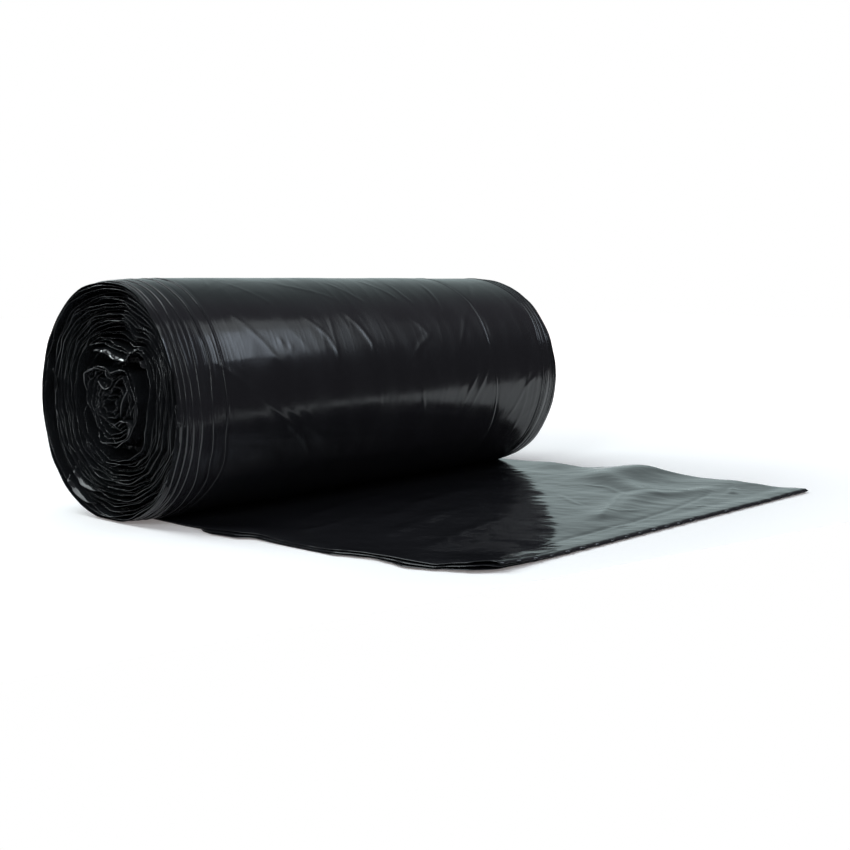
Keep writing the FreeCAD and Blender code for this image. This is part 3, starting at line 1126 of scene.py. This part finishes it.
@dataclass
class Studio:
    """A white table under soft light, and the camera."""

    target: Vector = field(default_factory=lambda: Vector((0.0, 0.0, 0.05)))

    def table(self) -> None:
        """Put a matt white table under the roll."""
        mesh = bpy.data.meshes.new("table")
        shape = bmesh.new()
        bmesh.ops.create_grid(shape, x_segments=8, y_segments=8, size=0.5)
        bmesh.ops.translate(shape, vec=(0.5, 0.5, 0), verts=shape.verts)
        bmesh.ops.transform(shape, matrix=Matrix.Diagonal((2.6, 2.8, 1, 1)), verts=shape.verts)
        bmesh.ops.translate(shape, vec=(-0.30, 0, 0), verts=shape.verts)
        bmesh.ops.rotate(shape, matrix=Matrix.Rotation(math.radians(-12), 3, "Z"), verts=shape.verts)
        bmesh.ops.translate(shape, vec=(0.02, -0.217, 0), verts=shape.verts)
        shape.to_mesh(mesh)
        shape.free()
        table = bpy.data.objects.new("table", mesh)
        bpy.context.collection.objects.link(table)
        table.data.materials.append(WhiteTable().material())

    def softbox(
        self,
        name: str,
        at: Vector,
        turn: float,
        size: Point,
        radiance: float,
        aimed: bool = False,
        colour: str = "#f4fdff",
    ) -> None:
        """Hang a rectangular softbox.

        Args:
            name: the lamp's name.
            at: its middle, in metres.
            turn: degrees from the X axis to its first side, for a level one.
            size: its two sides in metres.
            radiance: how bright its face is, where 1 is a white surface.
            aimed: whether it faces the object instead of hanging level.
            colour: the light's colour.
        """
        lamp = bpy.data.lights.new(name, "AREA")
        lamp.shape = "RECTANGLE"
        lamp.size, lamp.size_y = size
        lamp.color = linear(colour)[:3]
        lamp.energy = radiance * math.pi * size[0] * size[1]
        lamp_object = bpy.data.objects.new(name, lamp)
        lamp_object.location = at
        if aimed:
            lamp_object.rotation_euler = (self.target - at).to_track_quat("-Z", "Y").to_euler()
        else:
            lamp_object.rotation_euler = (0.0, 0.0, math.radians(turn))
        lamp_object.visible_camera = False
        bpy.context.collection.objects.link(lamp_object)

    def lights(self) -> None:
        """Hang the softboxes: over, a long one in four strips at the right front, at the left and behind."""
        self.softbox("softbox_over", Vector((-0.42, 0.65, 1.5)), 0.0, (1.3, 1.3), 3.5)
        turn = 27.4
        self.softbox("softbox_front", Vector((0.755, -0.837, 0.9)), turn, (0.24, 0.82), 4.0, colour="#e2f0ff")
        self.softbox("softbox_front_top", Vector((0.515, -0.365, 0.9)), turn, (0.24, 0.24), 1.3)
        self.softbox("softbox_front_edge", Vector((0.88, -0.64, 0.9)), turn, (0.14, 0.95), 0.8)
        self.softbox("softbox_front_rim", Vector((1.05, -0.62, 0.9)), turn, (0.20, 0.60), 0.12)
        self.softbox("softbox_left", Vector((-1.15, -0.42, 0.55)), 0.0, (0.26, 0.46), 14.0, aimed=True)
        self.softbox("softbox_back", Vector((-0.42, 1.25, 0.85)), 0.0, (0.8, 0.3), 13.0, aimed=True)
        self.softbox("softbox_low_left", Vector((-0.58, -1.05, 0.28)), 0.0, (0.5, 0.3), 2.4, aimed=True)

    def surroundings(self) -> None:
        """Make the world: white where it is looked at, dim round the object, lighter low behind it."""
        world = bpy.data.worlds.new("studio")
        bpy.context.scene.world = world
        world.use_nodes = True
        tree = world.node_tree
        tree.nodes.clear()
        way = add_node(tree, "ShaderNodeTexCoord").outputs["Generated"]
        parts = add_node(tree, "ShaderNodeSeparateXYZ", {"Vector": way})
        back = add_node(
            tree,
            "ShaderNodeMapRange",
            {"Value": parts.outputs["Y"], "From Min": 0.0, "From Max": 0.35, "To Min": 0.0, "To Max": 1.0},
        ).outputs[0]
        to_the_right = add_node(
            tree,
            "ShaderNodeMapRange",
            {"Value": parts.outputs["X"], "From Min": -0.3, "From Max": 0.1, "To Min": 0.0, "To Max": 1.0},
        ).outputs[0]
        behind = add_node(tree, "ShaderNodeMath", {0: back, 1: to_the_right}, operation="MULTIPLY").outputs[0]
        backdrop = add_node(tree, "ShaderNodeValToRGB", {"Fac": parts.outputs["Z"]})
        stops = ((0.0, 0.62), (0.17, 0.60), (0.30, 0.50), (0.45, 0.38), (0.66, 0.20))
        while len(backdrop.color_ramp.elements) < len(stops):
            backdrop.color_ramp.elements.new(0.5)
        for element, (at, level) in zip(backdrop.color_ramp.elements, stops):
            element.position = at
            element.color = (level * 0.82, level * 0.99, level, 1)
        ahead = add_node(tree, "ShaderNodeValToRGB", {"Fac": parts.outputs["Z"]})
        for element, at, level in zip(ahead.color_ramp.elements, (0.30, 0.75), (0.092, 0.165)):
            element.position = at
            element.color = (level * 0.92, level * 0.88, level, 1)
        dim = add_node(
            tree,
            "ShaderNodeMix",
            {0: behind, 6: ahead.outputs["Color"], 7: backdrop.outputs["Color"]},
            data_type="RGBA",
        ).outputs[2]
        path = add_node(tree, "ShaderNodeLightPath")
        low = add_node(
            tree,
            "ShaderNodeMapRange",
            {"Value": parts.outputs["Z"], "From Min": -0.1, "From Max": 0.02, "To Min": 0.6, "To Max": 0.0},
        ).outputs[0]
        lifted = add_node(tree, "ShaderNodeMath", {0: behind, 1: low}, operation="MULTIPLY").outputs[0]
        glossy = add_node(
            tree, "ShaderNodeMath", {0: path.outputs["Is Glossy Ray"], 1: lifted}, operation="MULTIPLY"
        ).outputs[0]
        seen = path.outputs["Is Camera Ray"]
        for ray in (path.outputs["Is Transmission Ray"], glossy):
            seen = add_node(tree, "ShaderNodeMath", {0: seen, 1: ray}, operation="MAXIMUM").outputs[0]
        white = (1, 1, 1, 1)
        colour = add_node(tree, "ShaderNodeMix", {0: seen, 6: dim, 7: white}, data_type="RGBA").outputs[2]
        background = add_node(tree, "ShaderNodeBackground", {"Color": colour, "Strength": 1.0})
        add_node(tree, "ShaderNodeOutputWorld", {"Surface": background.outputs[0]})

    def camera(self) -> None:
        """Stand the camera low at the left front, as the photograph was taken."""
        lens = bpy.data.cameras.new("camera")
        lens.sensor_width = 36.0
        lens.lens = 53.32
        lens.clip_start = 0.01
        camera = bpy.data.objects.new("camera", lens)
        camera.location = Vector((-423.17, -437.45, 99.92)) * MM
        yaw, pitch = math.radians(41.382), math.radians(6.616)
        level = math.cos(pitch)
        ahead = Vector((math.cos(yaw) * level, math.sin(yaw) * level, -math.sin(pitch)))
        camera.rotation_euler = ahead.to_track_quat("-Z", "Y").to_euler()
        bpy.context.collection.objects.link(camera)
        bpy.context.scene.camera = camera

    def build(self) -> None:
        """Set the whole studio up."""
        self.table()
        self.lights()
        self.surroundings()
        self.camera()
        bpy.context.scene.view_settings.view_transform = "Standard"


def main() -> None:
    """Build the roll, its first bag and the studio."""
    form = RollForm()
    wound = BlackFilm("film_wound", Grain.ROUND_THE_ROLL).material()
    # The end face's film is the same black film with a darker colour than the wound film: painted shade for
    # the recesses between the turns.
    edges = BlackFilm(
        "film_end_painted_shade",
        Grain.ALONG_THE_TURNS,
        colour="#151618",
        worn_colour="#1c1d1f",
        roughness=0.08,
        scuffed=0.15,
        crease_spacing=3 * MM,
        crease_length=12 * MM,
        crease_height=0.06 * MM,
        slack_size=9 * MM,
        slack_height=0.22 * MM,
    ).material()
    laid = BlackFilm(
        "film_laid",
        Grain.ALONG_THE_BAG,
        roughness=0.09,
        scuffed=0.16,
        crease_height=0.11 * MM,
        slack_height=0.28 * MM,
    ).material()
    OuterPlies(form).build(wound)
    WoundEnd(
        form,
        "turns_left",
        -1,
        LEFT_OUTLINES,
        (
            (0, 2.0), (4, 1.2), (8.5, 1.6), (10, 7.0), (11, 1.2), (14, 3.2), (18, 2.6), (22, 3.0),
            (26, 1.0), (29, 2.4), (31, 0.8), (33, 0.4),
        ),
        LEFT_FOLDS,
        slump=3.0,
        seed=1.3,
    ).build(edges)
    WoundEnd(
        form,
        "turns_right",
        1,
        RIGHT_OUTLINES,
        ((0, 2.5), (6, 1.2), (10, 3.0), (12, 2.0), (20, 1.6), (27, 1.0), (30, 1.6), (33, 0.4)),
        (),
        slump=2.0,
        seed=7.9,
    ).build(edges)
    FirstBag().build(laid)
    Studio().build()


if __name__ == "__main__":
    main()
